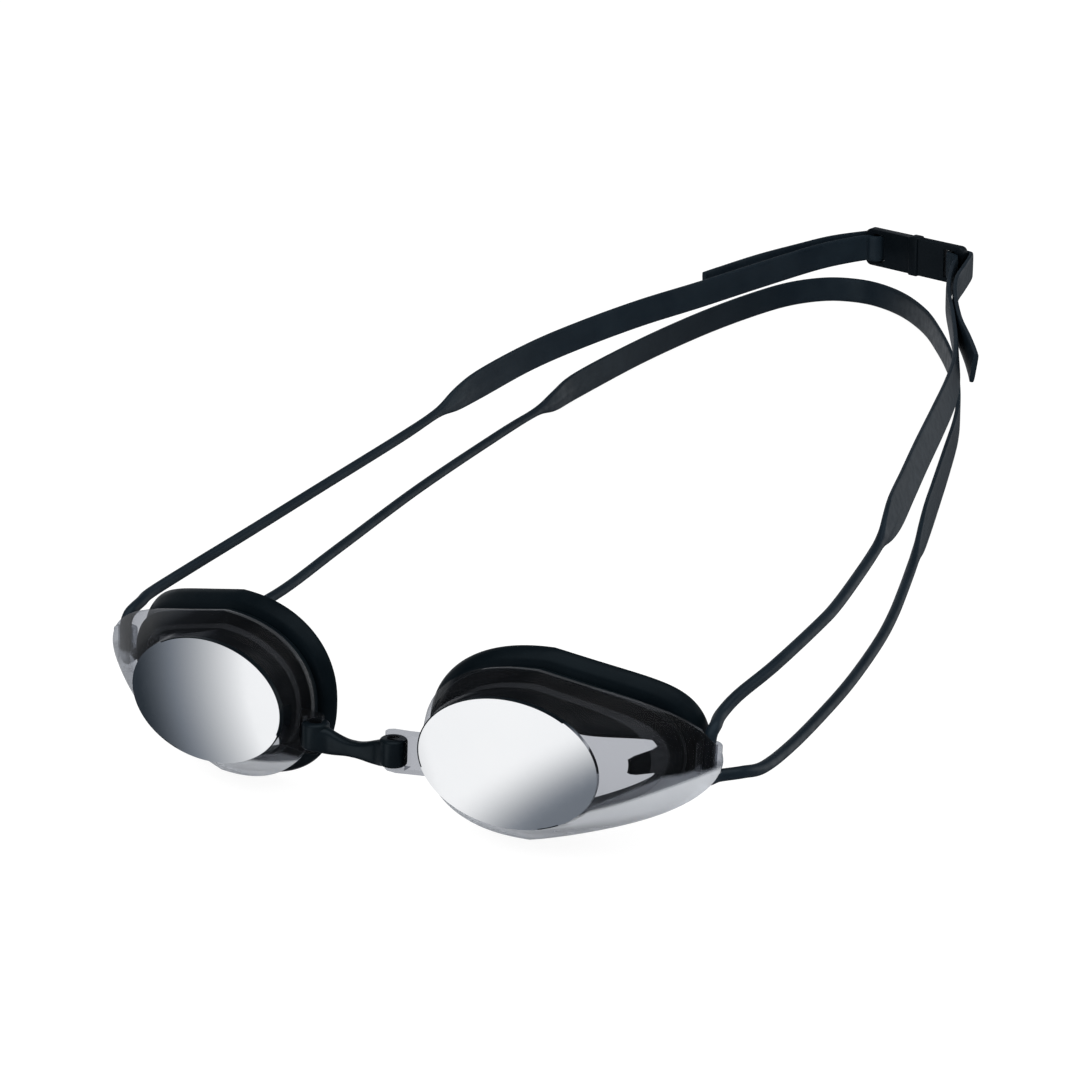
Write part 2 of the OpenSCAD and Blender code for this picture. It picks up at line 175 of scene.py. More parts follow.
def face_outwards(obj):
    pick(obj)
    bpy.ops.object.mode_set(mode="EDIT")
    bpy.ops.mesh.select_all(action="SELECT")
    bpy.ops.mesh.normals_make_consistent(inside=False)
    bpy.ops.object.mode_set(mode="OBJECT")


def loft(name, rings, closed=False, angle=38):
    """Circle pulled on from ring to ring; a closed one meets its start again."""
    count = len(rings[0])
    deselect()
    fill = "NOTHING" if closed else "NGON"
    bpy.ops.mesh.primitive_circle_add(vertices=count, radius=0.01, fill_type=fill, enter_editmode=True)
    obj = named(bpy.context.object, name)
    bpy.ops.mesh.select_all(action="SELECT")
    ring = list(bmesh.from_edit_mesh(obj.data).verts)
    for k, points in enumerate(rings):
        if k:
            order = {tuple(v.co): i for i, v in enumerate(ring)}
            bpy.ops.mesh.extrude_region_move()
            moved = [v for v in bmesh.from_edit_mesh(obj.data).verts if v.select]
            ring = sorted(moved, key=lambda v: order[tuple(v.co)])
        for vert, point in zip(ring, points):
            vert.co = point
    bmesh.update_edit_mesh(obj.data)
    if closed:
        bpy.ops.mesh.select_mode(type="EDGE")
        bpy.ops.mesh.select_non_manifold()
        bpy.ops.mesh.bridge_edge_loops()
    bpy.ops.object.mode_set(mode="OBJECT")
    face_outwards(obj)
    smooth(obj, angle)
    return obj


def rod(x, y, z, radius, height, sides=48):
    """Upright rod in a leaning eyecup's own frame."""
    deselect()
    bpy.ops.mesh.primitive_cylinder_add(
        vertices=sides, radius=radius * MM, depth=height * MM,
        location=lean((x, y, z)), rotation=(-RAKE, 0, 0))
    return settle(bpy.context.object)


def block(centre, size, rotation):
    deselect()
    bpy.ops.mesh.primitive_cube_add(size=1, location=centre, rotation=rotation, scale=Vector(size) * MM)
    return settle(bpy.context.object)


def combine(obj, tool, how):
    """Join a tool to a piece or cut it away."""
    pick(obj)
    mod = obj.modifiers.new(how, "BOOLEAN")
    mod.operation = how
    mod.solver = "EXACT"
    mod.object = tool
    bpy.ops.object.modifier_apply(modifier=mod.name)
    bpy.data.objects.remove(tool)


def bevel(obj, width, segments=3, angle=35):
    pick(obj)
    mod = obj.modifiers.new("edges", "BEVEL")
    mod.width = width * MM
    mod.segments = segments
    mod.limit_method = "ANGLE"
    mod.angle_limit = math.radians(angle)
    bpy.ops.object.modifier_apply(modifier=mod.name)


def round_corners(obj, way, radius):
    """Round the edges of a block that run along a way."""
    pick(obj)
    bpy.ops.object.mode_set(mode="EDIT")
    bpy.ops.mesh.select_mode(type="EDGE")
    bpy.ops.mesh.select_all(action="DESELECT")
    bm = bmesh.from_edit_mesh(obj.data)
    for edge in bm.edges:
        span = (edge.verts[0].co - edge.verts[1].co).normalized()
        edge.select_set(abs(span.dot(way)) > 0.99)
    bmesh.update_edit_mesh(obj.data)
    bpy.ops.mesh.bevel(offset=radius * MM, offset_type="OFFSET", segments=5, affect="EDGES")
    bpy.ops.object.mode_set(mode="OBJECT")


def mirrored(obj, name):
    """Copy for the wearer's right side."""
    pick(obj)
    bpy.ops.object.duplicate()
    other = named(bpy.context.object, name)
    bpy.ops.transform.resize(value=(-1, 1, 1), center_override=(0, 0, 0))
    settle(other)
    face_outwards(other)
    return other


# Materials

def new_material(name):
    mat = bpy.data.materials.new(name)
    mat.use_nodes = True
    return mat, mat.node_tree, mat.node_tree.nodes["Principled BSDF"]


def noise(tree, scale, detail=4.0):
    coord = tree.nodes.new("ShaderNodeTexCoord")
    tex = tree.nodes.new("ShaderNodeTexNoise")
    tex.inputs["Scale"].default_value = scale
    tex.inputs["Detail"].default_value = detail
    tree.links.new(coord.outputs["Object"], tex.inputs["Vector"])
    return tex.outputs["Fac"]


def step(tree, value, low, high, start, end, shape="SMOOTHSTEP"):
    """Value brought from low..high to start..end."""
    node = tree.nodes.new("ShaderNodeMapRange")
    node.interpolation_type = shape
    for socket, number in (("From Min", low), ("From Max", high), ("To Min", start), ("To Max", end)):
        node.inputs[socket].default_value = number
    tree.links.new(value, node.inputs["Value"])
    return node.outputs["Result"]


def worn(tree, scale, low, high):
    """Roughness that wanders between two values."""
    return step(tree, noise(tree, scale, 6), 0.3, 0.7, low, high, "LINEAR")


def sums(tree, operation, *values):
    node = tree.nodes.new("ShaderNodeMath")
    node.operation = operation
    for socket, value in zip(node.inputs, values):
        if isinstance(value, float):
            socket.default_value = value
        else:
            tree.links.new(value, socket)
    return node.outputs[0]


def shade(tree, value, *stops):
    """Tones at places along a value."""
    ramp = tree.nodes.new("ShaderNodeValToRGB")
    elements = ramp.color_ramp.elements
    while len(elements) < len(stops):
        elements.new(0.5)
    for element, (position, tone) in zip(elements, stops):
        element.position = position
        element.color = (*tone, 1) if isinstance(tone, tuple) else (tone, tone, tone, 1)
    tree.links.new(value, ramp.inputs["Fac"])
    return ramp.outputs["Color"]


def two_tone(tree, scale, dark, light):
    return shade(tree, noise(tree, scale), (0.32, dark), (0.68, light))


def mix_shaders(tree, share, first, second):
    node = tree.nodes.new("ShaderNodeMixShader")
    for socket, value in zip(node.inputs, (share, first, second)):
        tree.links.new(value, socket)
    return node.outputs[0]


def moulded(name, dark, light, rough, grain, depth, shine):
    """Moulded rubber or plastic: faint tone shifts, fine grain."""
    mat, tree, bsdf = new_material(name)
    bsdf.inputs["Specular IOR Level"].default_value = shine
    bsdf.inputs["Specular Tint"].default_value = (0.72, 0.88, 1, 1)
    tree.links.new(two_tone(tree, 90, dark, light), bsdf.inputs["Base Color"])
    tree.links.new(worn(tree, 400, rough - 0.06, rough + 0.08), bsdf.inputs["Roughness"])
    bump = tree.nodes.new("ShaderNodeBump")
    bump.inputs["Strength"].default_value = depth
    bump.inputs["Distance"].default_value = 0.00004
    tree.links.new(noise(tree, grain, 3), bump.inputs["Height"])
    tree.links.new(bump.outputs["Normal"], bsdf.inputs["Normal"])
    return mat


# Where the look of the lens changes, in metres from the middle and from the floor; below the crease the
# lower flank is painted pale as painted floor light
CREASE_X, CREASE_CLIMB = 0.036, 0.28
CREASE_LOW, CREASE_HIGH = 0.0092, 0.0104
WING_START, WING_END = 0.059, 0.067
FLANK_PAINTED_LIGHT = 0.55
SMOKE_THIN, SMOKE_THICK = (0.63, 0.64, 0.665), (0.55, 0.565, 0.595)


def smoke_polycarbonate(name, haze_and_painted_highlight):
    """Clear smoke plastic with a polished skin; its lower flank is painted milky and pale, painted light
    standing in for the white floor seen through the thick plastic.
    """
    mat, tree, bsdf = new_material(name)
    tree.links.new(two_tone(tree, 60, (0.55, 0.57, 0.60), (0.61, 0.63, 0.66)), bsdf.inputs["Base Color"])
    tree.links.new(worn(tree, 900, 0.1, 0.2), bsdf.inputs["Roughness"])

    coord = tree.nodes.new("ShaderNodeTexCoord")
    axes = tree.nodes.new("ShaderNodeSeparateXYZ")
    tree.links.new(coord.outputs["Object"], axes.inputs[0])
    aside = sums(tree, "ABSOLUTE", axes.outputs["X"])

    # Painted light: the thick lower flank, up to a crease that climbs to the temple, is made milky and
    # pale, standing in for the white floor seen through it
    outer = sums(tree, "MAXIMUM", sums(tree, "SUBTRACT", aside, CREASE_X), 0.0)
    above = sums(tree, "SUBTRACT", axes.outputs["Z"], sums(tree, "MULTIPLY", outer, CREASE_CLIMB))
    painted_floor_light = step(tree, above, CREASE_LOW, CREASE_HIGH, FLANK_PAINTED_LIGHT, haze_and_painted_highlight)

    # The wing is thick, so its smoke is darker
    clear = tree.nodes.new("ShaderNodeBsdfTransparent")
    thick = step(tree, aside, WING_START, WING_END, 0.0, 1.0)
    tree.links.new(shade(tree, thick, (0.0, SMOKE_THIN), (1.0, SMOKE_THICK)), clear.inputs["Color"])
    plastic = mix_shaders(tree, painted_floor_light, clear.outputs[0], bsdf.outputs[0])

    # The skin shines where it is seen at a flat angle
    skin = tree.nodes.new("ShaderNodeBsdfGlossy")
    tree.links.new(worn(tree, 900, 0.03, 0.07), skin.inputs["Roughness"])
    facing = tree.nodes.new("ShaderNodeLayerWeight")
    facing.inputs["Blend"].default_value = 0.5
    grazing = sums(tree, "POWER", facing.outputs["Facing"], 4.0)
    sheen = step(tree, grazing, 0.0, 1.0, 0.005, 0.8, "LINEAR")
    polished = mix_shaders(tree, sheen, plastic, skin.outputs[0])
    tree.links.new(polished, tree.nodes["Material Output"].inputs["Surface"])
    return mat


def mirror_metal():
    """Bright coat, a little uneven."""
    mat, tree, bsdf = new_material("mirror_coat")
    tree.links.new(two_tone(tree, 25, (0.86, 0.875, 0.895), (0.90, 0.91, 0.925)), bsdf.inputs["Base Color"])
    tree.links.new(worn(tree, 700, 0.05, 0.09), bsdf.inputs["Roughness"])
    bsdf.inputs["Metallic"].default_value = 1.0
    return mat


STRAP_DARK, STRAP_LIGHT = (0.003, 0.006, 0.0095), (0.0055, 0.0095, 0.0135)
RUBBER_DARK, RUBBER_LIGHT = (0.001, 0.0022, 0.0032), (0.002, 0.0038, 0.0052)
BUCKLE_DARK, BUCKLE_LIGHT = (0.001, 0.0018, 0.0027), (0.002, 0.0032, 0.0046)

strap_silicone = moulded(
    "strap_silicone", STRAP_DARK, STRAP_LIGHT, rough=0.38, grain=2600, depth=0.3, shine=0.24)
gasket_rubber = moulded(
    "gasket_rubber", RUBBER_DARK, RUBBER_LIGHT, rough=0.34, grain=2200, depth=0.2, shine=0.12)
bridge_rubber = moulded(
    "bridge_rubber", RUBBER_DARK, RUBBER_LIGHT, rough=0.34, grain=2200, depth=0.2, shine=0.24)
buckle_plastic = moulded(
    "buckle_plastic", BUCKLE_DARK, BUCKLE_LIGHT, rough=0.36, grain=3200, depth=0.25, shine=0.2)
smoke_lens = smoke_polycarbonate("smoke_polycarbonate", 0.003)
# Paler copy of the lens plastic, a painted highlight for the thin line along the lens's back edge
painted_edge_highlight = smoke_polycarbonate("painted_edge_highlight", 0.045)
mirror_coat = mirror_metal()


def dress(obj, body, mat, node):
    """Give a piece its finish and its body, and hide the part it stands in for."""
    obj.data.materials.clear()
    obj.data.materials.append(mat)
    if body:
        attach(obj, body)
    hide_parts(node)


# Eyecups

def back_depth(x):
    """Depth of the shell's back edge, from nose to temple."""
    share = max(0.0, (x - BACK_X + BACK_A) / (2 * BACK_A))
    return mix(DEPTH_NOSE, DEPTH_TEMPLE, share ** 1.7)


def turns():
    return [2 * math.pi * i / AROUND for i in range(AROUND)]


def front_ring(a, b, y):
    return [(CUP_X + a * math.cos(t), y + a * math.cos(t) * WRAP, b * math.sin(t)) for t in turns()]


def blunt(u, start, end, k):
    """Half height of a rounded temple end at share u of its reach."""
    return mix(start, end, u ** 1.1) * math.sqrt(max(0.0, 1 - u ** k))


def lip_share(t):
    """Lip's reach round the eye, full at the brow."""
    return LIP_REACH / LIP_FULL * mix(0.72, 1.0, (math.sin(t) + 1) / 2)


def nose_half(t, reach, tall, dy, corner):
    """Point on the nose half of a ring, squarer than an ellipse."""
    c = signed_power(math.cos(t), corner)
    y = back_depth(BACK_X + BACK_A * c) + dy
    return BACK_X + reach * c, y, BACK_Z + tall * signed_power(math.sin(t), corner)


def back_ring(off, dy, grow=0.0):
    """Ring at the gasket's seat, grown by off and by shares of the lip."""
    ring = []
    for t in turns():
        o = off + grow * lip_share(t)
        b = BACK_B + o
        u = max(0.0, math.cos(t)) ** 0.9
        if u > 1e-9:
            z = SEAT_RISE * u ** 1.5 + math.copysign(blunt(u, b, b - SEAT_TAPER, 8), math.sin(t))
            ring.append((BACK_X + (SEAT_OUT + o) * u, back_depth(BACK_X + SEAT_OUT * u) + dy, BACK_Z + z))
        else:
            ring.append(nose_half(t, BACK_A + o, b, dy, SEAT_SQUARE))
    return ring


def wing_ring(shrink, dy, tip_dy):
    """Shell's edge, drawn out to a blunt wing at the temple."""
    ring = []
    b = BACK_B + FLANGE
    for t in turns():
        out = max(0.0, math.cos(t))
        u = out ** 0.9
        if u > 1e-9:
            x = BACK_X + (WING_OUT - shrink) * u
            half = blunt(u, b, b - WING_TAPER - shrink, 6)
            z = WING_RISE * u ** 1.5 + math.copysign(half, math.sin(t))
            ring.append((x, back_depth(x) + dy + tip_dy * out, BACK_Z + z))
        else:
            ring.append(nose_half(t, BACK_A + FLANGE, b, dy, WING_SQUARE))
    return ring


def mix_ring(a, b, t, power=1.0):
    g = t ** power
    return [(mix(p[0], q[0], g), mix(p[1], q[1], t), mix(p[2], q[2], g)) for p, q in zip(a, b)]


def dome(s):
    """Depth of the raised front at share s of its reach."""
    return -DOME_RISE + s * s


def placed(rings):
    return [[lean(p) for p in ring] for ring in rings]


def nose_lug():
    """Clear lug with the bar that the bridge hooks on."""
    arm = BRIDGE_H / 2 + HOOK_PLAY
    root = CUP_X - LENS_A + 2
    outline = [
        (BAR_X - 0.6, BAR_Y - 1.4), (BAR_X + 1.5, BAR_Y - 1.7), (root, 0.9), (root, 4),
        (BAR_X + 3, BAR_Y + 1.9), (BAR_X - 0.6, BAR_Y + 1.4),
        (BAR_X - 1.6, BAR_Y + 0.6), (BAR_X - 1.6, BAR_Y - 0.6),
    ]
    levels = (BAR_Z - arm - LUG_UNDER, BAR_Z + arm + LUG_OVER)
    lug = loft("nose_lug", [[lean((x, y, z)) for x, y in outline] for z in levels])
    window_end = BAR_X + BAR_R + 1.9
    window = block(
        lean((window_end - THROUGH / 2, BAR_Y, BAR_Z)), (THROUGH, THROUGH, 2 * arm), (-RAKE, 0, 0))
    combine(lug, window, "DIFFERENCE")
    bevel(lug, 0.45)
    combine(lug, rod(BAR_X, BAR_Y, BAR_Z, BAR_R, 2 * arm + 1), "UNION")
    return lug


# Shares of the way at which the shell has rings, and insets and depths of its rounded front edge
DOME_SHARES = (0.1, 0.25, 0.4, 0.55, 0.7, 0.82, 0.9)
FLANK_SHARES = (0.08, 0.16, 0.26, 0.36, 0.46, 0.56, 0.66, 0.76, 0.86, 0.94)
INNER_SHARES = (0.25, 0.5, 0.75, 0.92)
FRONT_EDGE = ((0.9, dome(DOME_EDGE)), (0.25, 0.15), (0.0, 0.5))


def lens_shell():
    """Closed shell from the domed front over the flank to the wing and back inside, with lug and tunnel."""
    step_ring = front_ring(LENS_A + STEP_OUT, LENS_B + STEP_OUT, STEP_DEPTH)
    edge = wing_ring(shrink=0, dy=-1.2, tip_dy=0)
    inner_front = front_ring(LENS_A - WALL, LENS_B - WALL, INNER_FRONT)
    inner_back = back_ring(-WALL + 0.4, 0)
    rings = [front_ring(LENS_A * s, LENS_B * s, dome(s)) for s in DOME_SHARES]
    rings += [front_ring(LENS_A - inset, LENS_B - inset, y) for inset, y in FRONT_EDGE]
    rings += [step_ring]
    rings += [mix_ring(step_ring, edge, t, FLANK_SWELL) for t in FLANK_SHARES]
    rings += [edge, wing_ring(shrink=0.25, dy=-0.2, tip_dy=0.5), wing_ring(shrink=0.6, dy=0, tip_dy=1.2)]
    rings += [back_ring(1.5, 0), inner_back]
    rings += [mix_ring(inner_back, inner_front, t) for t in INNER_SHARES]
    rings += [inner_front]
    shell = loft("left_lens_shell", placed(rings))
    combine(shell, nose_lug(), "UNION")
    boss = rod(TUNNEL_X, TUNNEL_Y, TUNNEL_Z, CORD / 2 + BOSS_WALL, BOSS_TALL)
    bevel(boss, 0.4)
    combine(shell, boss, "UNION")
    combine(shell, rod(TUNNEL_X, TUNNEL_Y, TUNNEL_Z, CORD / 2 + CORD_PLAY, 30), "DIFFERENCE")
    smooth(shell, 32)
    return shell


def mirror_film():
    """Thin coat over the front, following its dome."""
    shares = (0.04, 0.14, 0.24, 0.34, 0.44, 0.54, 0.64, 0.74, 0.84, 0.92, 0.985, 1.0)

    def film_ring(s, stands):
        return front_ring(FILM_A * s, FILM_B * s, dome(DOME_EDGE * s) - stands)

    face = [film_ring(s, FILM_OVER) for s in shares]
    edge = [front_ring(FILM_A, FILM_B, 0.1)]
    back = [film_ring(s, FILM_UNDER) for s in reversed(shares[:-1])]
    return loft("left_mirror_film", placed(face + edge + back), angle=45)


# Gasket section: offset from the seat, depth behind it, share of the lip
GASKET_PROFILE = [
    (1.0, 0.02, 0), (1.5, 0.5, 0), (1.5, 2.0, 0), (0.6, 2.5, 0), (0.6, 3.1, 0),
    (0, 3.7, 2.1), (0, 5.1, 3.2), (0, 6.6, 3.6), (0, 7.7, 2.9),
    (1.0, 8.2, 0), (-1.6, 7.5, 0), (-2.6, 5.5, 0), (-2.4, 2.0, 0),
]


def lining(t):
    """Share of the shell's inner wall that the gasket lines."""
    d = math.degrees(t) % 360
    collar = 0.92 * ease(d, 18, 46) * (1 - ease(d, 196, 226))
    temple = 0.5 * (1 - ease(min(d, 360 - d), 8, 15))
    return max(0.06, collar, temple)


def lining_ring(d, share):
    seat = back_ring(-LINING_SEAT - d, 0)
    inset = WALL + LINING_PLAY + d
    front = front_ring(LENS_A - inset, LENS_B - inset, 1.5 + d * 0.5)
    return [
        tuple(mix(p, q, lining(t) * share) for p, q in zip(a, b))
        for a, b, t in zip(seat, front, turns())
    ]


def face_fit(ring, dy):
    """Lip lies flatter toward the nose and reaches further back toward the temple."""
    lip = max(0.0, dy - LIP_START)
    fitted = []
    for (x, y, z), t in zip(ring, turns()):
        toward = math.cos(t)
        share = FIT_NOSE if toward < 0 else FIT_TEMPLE
        fitted.append((x, y + share * lip * abs(toward) ** 1.5, z))
    return fitted


def gasket_ring():
    """Soft ring lofted round the seat, with its lip and the lining inside the shell."""
    pts = np.array(GASKET_PROFILE)
    last = len(pts) - 1
    rings = []
    for i in range(last):
        a, b, c, d = pts[max(i - 1, 0)], pts[i], pts[i + 1], pts[min(i + 2, last)]
        for t in (0, 0.25, 0.5, 0.75):
            off, dy, grow = mix(mix(b, c, t), curve_point(a, b, c, d, t), 0.6)
            rings.append(face_fit(back_ring(off, max(dy, 0.02), grow), dy))
    rings.append(back_ring(*pts[-1]))
    shares = (0, 0.25, 0.5, 0.75, 1)
    rings += [lining_ring(LINING_FACE, share) for share in shares]
    rings += [lining_ring(LINING_BACK, share) for share in reversed(shares)]
    return loft("left_gasket_ring", placed(rings), closed=True, angle=50)


# Shares of the coat's reach with the painted shade line, and the depth and facing of the shell's rim with
# its painted highlight
LINE_FROM, LINE_TEMPLE = 0.985, 0.6
RIM_DEEP, RIM_FACING = 1.15, 0.6


def paint_edge_shade(film, s):
    """Painted shade: a dark line of black rubber round the coat's edge, left off at its temple end."""
    film.data.materials.append(gasket_rubber)
    for face in film.data.polygons:
        x = (s * face.center.x / MM - CUP_X) / FILM_A
        z = (face.center.z / MM - LENS_Z) / math.cos(RAKE) / FILM_B
        face.material_index = 1 if math.hypot(x, z) > LINE_FROM and x < LINE_TEMPLE else 0


def paint_rim_highlight(shell, s):
    """Painted highlight: the back edge of the lens gets the paler plastic, a thin light line."""
    shell.data.materials.append(painted_edge_highlight)
    for face in shell.data.polygons:
        y, z = face.center.y / MM + MID_Y, face.center.z / MM - LENS_Z
        depth = y * math.cos(RAKE) - z * math.sin(RAKE)
        backward = face.normal.y * math.cos(RAKE) - face.normal.z * math.sin(RAKE)
        rim = depth > back_depth(s * face.center.x / MM) - RIM_DEEP and backward < RIM_FACING
        face.material_index = 1 if rim else 0


def eyecups():
    shell, film, gasket = lens_shell(), mirror_film(), gasket_ring()
    for obj, mat, slot, node, finish in (
        (shell, smoke_lens, "smoke_lens", "lens", paint_rim_highlight),
        (film, mirror_coat, "mirror_coat", "mirror", paint_edge_shade),
        (gasket, gasket_rubber, "gasket_rubber", "gasket", None),
    ):
        other = mirrored(obj, obj.name.replace("left", "right"))
        smooth(other, 32)
        for piece, side, s in ((obj, "left", 1), (other, "right", -1)):
            dress(piece, side + "_eyecup", mat, side + "_" + node)
            if finish:
                finish(piece, s)


# Nose bridge

def nose_bridge():
    """Dog-bone with a slim low waist, hooked round both bars."""
    rings = []
    for i in range(BRIDGE_STEPS + 1):
        x = mix(-BAR_X, BAR_X, i / BRIDGE_STEPS)
        share = abs(x) / BAR_X
        tall = mix(BRIDGE_WAIST, BRIDGE_H - BRIDGE_INSET, ease(share, 0.05, 0.8))
        thick = mix(BRIDGE_THIN, BRIDGE_THICK, ease(share, 0.55, 0.95))
        y = BAR_Y - BRIDGE_FORWARD
        z = BAR_Z - BRIDGE_SAG * (1 - share ** 2.2)
        ring = []
        for k in range(BRIDGE_SIDES):
            t = 2 * math.pi * k / BRIDGE_SIDES
            out, rise = signed_power(math.cos(t), BRIDGE_SQUARE), signed_power(math.sin(t), BRIDGE_SQUARE)
            ring.append(lean((x, y + thick / 2 * out, z + tall / 2 * rise)))
        rings.append(ring)
    bridge = loft("bridge_body", rings)
    for s in (-1, 1):
        hook = rod(s * BAR_X, BAR_Y, BAR_Z, HOOK_R, BRIDGE_H)
        bevel(hook, 0.7, 4)
        combine(bridge, hook, "UNION")
    for s in (-1, 1):
        combine(bridge, rod(s * BAR_X, BAR_Y, BAR_Z, BAR_R + BAR_PLAY, THROUGH), "DIFFERENCE")
    smooth(bridge, 40)
    dress(bridge, "bridge", bridge_rubber, "nose_bridge")


# Strap: each spot on a route has a place, a width, a thickness, a twist in degrees and a ridge

def spot(x, y, z, w, t, twist=0.0, ridge=0.0):
    return np.array([x, y - MID_Y, z, w, t, twist, ridge])


def cord(x, y, z):
    return spot(x, y, z, CORD, CORD)


def flare(x, y, z, twist=0.0):
    return spot(x, y, z, FLARE_W, FLARE_T, twist, FLARE_RIDGE)


def flat(x, y, z=LOOP_Z, twist=0.0, ridge=0.0):
    return spot(x, y, z, RIBBON_W, RIBBON_T, twist, ridge)


def at_tunnel(s, w, dy=0.0):
    p = lean((TUNNEL_X, TUNNEL_Y, TUNNEL_Z + w)) / MM
    return np.array([s * p[0], p[1] + dy, p[2], CORD, CORD, 0, 0])


def in_buckle(x, y):
    c, s = math.cos(BUCKLE_TURN), math.sin(BUCKLE_TURN)
    place = BUCKLE[0] + x * c - y * s, BUCKLE[1] + x * s + y * c, BUCKLE[2]
    return np.array([*place, RIBBON_W, RIBBON_T, 0, 0])


# Spots that two stretches share on the left (1) and on the right (-1)
LOW_SEAM = {1: cord(74.5, 47, 10), -1: cord(-66.5, 47, 11.5)}
LOW_NEXT = {1: cord(74.4, 66, 8), -1: cord(-65.3, 71, 8.6)}
LOW_LAST = {1: cord(74.4, 32, 12.8), -1: cord(-67.8, 32, 14)}
UP_SEAM = {1: cord(71.2, 46, 27.9), -1: cord(-68.7, 46, 26.7)}
UP_NEXT = {1: cord(72.9, 66, 28), -1: cord(-67, 66, 27)}
UP_LAST = {1: cord(68.8, 33, 27.2), -1: cord(-70, 31, 26.3)}


def cord_route(s):
    return [
        LOW_NEXT[s], LOW_SEAM[s], LOW_LAST[s],
        cord(72.8 if s > 0 else -68.6, 25, 15), cord(s * 69.4, 21.2, 15.5),
        at_tunnel(s, -4.7, 0.7), at_tunnel(s, -3), at_tunnel(s, 0), at_tunnel(s, 3), at_tunnel(s, 4.7, 0.7),
        cord(s * 68.7, 21.6, 26.2), cord(68 if s > 0 else -69.3, 26, 26.3),
        UP_LAST[s], UP_SEAM[s], UP_NEXT[s],
    ]


LOWER_ROUTE = [
    LOW_LAST[-1], LOW_SEAM[-1], LOW_NEXT[-1],
    cord(-66.9, 103, 7.3), cord(-68.4, 146, 6.2), cord(-68, 191, 4.9), cord(-67.1, 211, 4.3),
    flare(-66.6, 222, 3.9), flat(-65.9, 236, LOW, 0, RIDGE), flat(-60.6, 269, LOW), flat(-53.3, 299, LOW),
    flat(-45.5, 321.5, LOW), flat(-38, 336.5, LOW), flat(-28.8, 345, LOW), flat(-19, 347, LOW),
    flat(-9.5, 344.5, LOW), flat(1.2, 337, LOW), flat(12, 324.5, LOW), flat(20.8, 310, LOW),
    flat(29.7, 293, LOW), flat(37.5, 275, LOW), flat(44, 256, LOW), flat(48.6, 239, LOW, 3),
    flat(53.3, 215.5, LOW, 7), flat(57.2, 195, LOW, 8), flat(60.3, 178.5, LOW, 8, RIDGE),
    flare(63, 164.5, 3.75, 6),
    cord(65.3, 152.5, 4.2), cord(67.9, 138.5, 4.6), cord(70.9, 121, 5.2), cord(72.8, 105, 5.8),
    cord(74.1, 84, 6.8), LOW_NEXT[1], LOW_SEAM[1], LOW_LAST[1],
]

RIGHT_FRONT = [
    UP_LAST[-1], UP_SEAM[-1], UP_NEXT[-1],
    cord(-65.2, 94, 27.2), cord(-62.7, 128.5, 27.6), cord(-62, 146, 27.9),
    flare(-61.6, 156, 28.3), flat(-60.6, 168, 28.8, 0, RIDGE), flat(-56.9, 190, 29.5),
    flat(-51.1, 209.5, 30), flat(-42.7, 231.5),
]

LEFT_FRONT = [
    UP_LAST[1], UP_SEAM[1], UP_NEXT[1],
    cord(73.2, 77, 28), cord(72.4, 95, 28.2), cord(71.7, 106.5, 28.6),
    flare(70.8, 115.5, 28.9, -12), flat(69.5, 125, 29.2, -18, RIDGE), flat(67.4, 140, 29.6, -18),
    flat(64.8, 158, 30, -18), flat(61.6, 181, 30.2, -17), flat(58.8, 199.5, LOOP_Z, -14),
]


def bar_turn(s):
    """Ribbon's way in at the front, round the buckle's end bar and out at the back."""
    near = GAP_Y * 0.71
    return [
        in_buckle(s * (BAR_IN + 2.4), -GAP_Y - 1.3), in_buckle(s * BAR_IN, -GAP_Y),
        in_buckle(s * (BAR_IN - near), -near), in_buckle(s * (BAR_IN - GAP_Y), 0),
        in_buckle(s * (BAR_IN - near), near), in_buckle(s * BAR_IN, GAP_Y),
        in_buckle(s * (BAR_IN + 2.8), GAP_Y), in_buckle(s * (BAR_IN + 4.6), GAP_Y - 1.9),
    ]


RIGHT_END = [
    flat(-56.9, 190, 29.5), flat(-51.1, 209.5, 30), flat(-42.7, 231.5), flat(-33.2, 252.7),
    flat(-23.6, 275.6), flat(-13.2, 298.5), *bar_turn(-1),
    flat(-13, 307.5), flat(-19.8, 296), flat(-27, 282.5), flat(-33.2, 267.3),
    flat(-35.5, 261.2), flat(-38.2, 253.3),
]

LEFT_END = [
    flat(64.8, 158, 30, -18), flat(61.6, 181, 30.2, -17), flat(58.8, 199.5, LOOP_Z, -14),
    flat(55.5, 215, LOOP_Z, -9), flat(50.4, 231.3, LOOP_Z, -4), flat(43.2, 250.7),
    flat(35.4, 271.5), flat(30.8, 289), *bar_turn(1),
    flat(33.6, 292), flat(34.9, 281), flat(38.8, 267), flat(46.1, 248), flat(53.4, 232.3, LOOP_Z, -4),
    flat(59, 219.3, LOOP_Z, -8), flat(63, 208, LOOP_Z, -10),
]


def strap_line(route, steps):
    """Spots and directions along a route; its first and last spots only steer it."""
    spots, ways = [], []
    for i in range(1, len(route) - 2):
        steer = route[i - 1:i + 3]
        last = i == len(route) - 3
        for k in range(steps + last):
            spots.append(curve_point(*steer, k / steps))
            way = curve_way(*steer, k / steps)[:3]
            ways.append(way / np.linalg.norm(way))
    return spots, ways


def strap_section(w, t, ridge, sides=32):
    """Section of the strap: round for a cord, flat with a soft ridge for a ribbon."""
    flatness = min(1, max(0, (w / t - 1) / 3))
    corner = mix(1.0, STRAP_SQUARE, flatness)
    section = []
    for k in range(sides):
        a = 2 * math.pi * k / sides
        a -= STRAP_GATHER * flatness * math.sin(2 * a)
        out = t / 2 * signed_power(math.cos(a), corner)
        rise = w / 2 * signed_power(math.sin(a), corner)
        out += math.copysign(max(ridge, 0) * math.exp(-(rise / RIDGE_WIDE) ** 2), math.cos(a))
        section.append((out, rise))
    return section


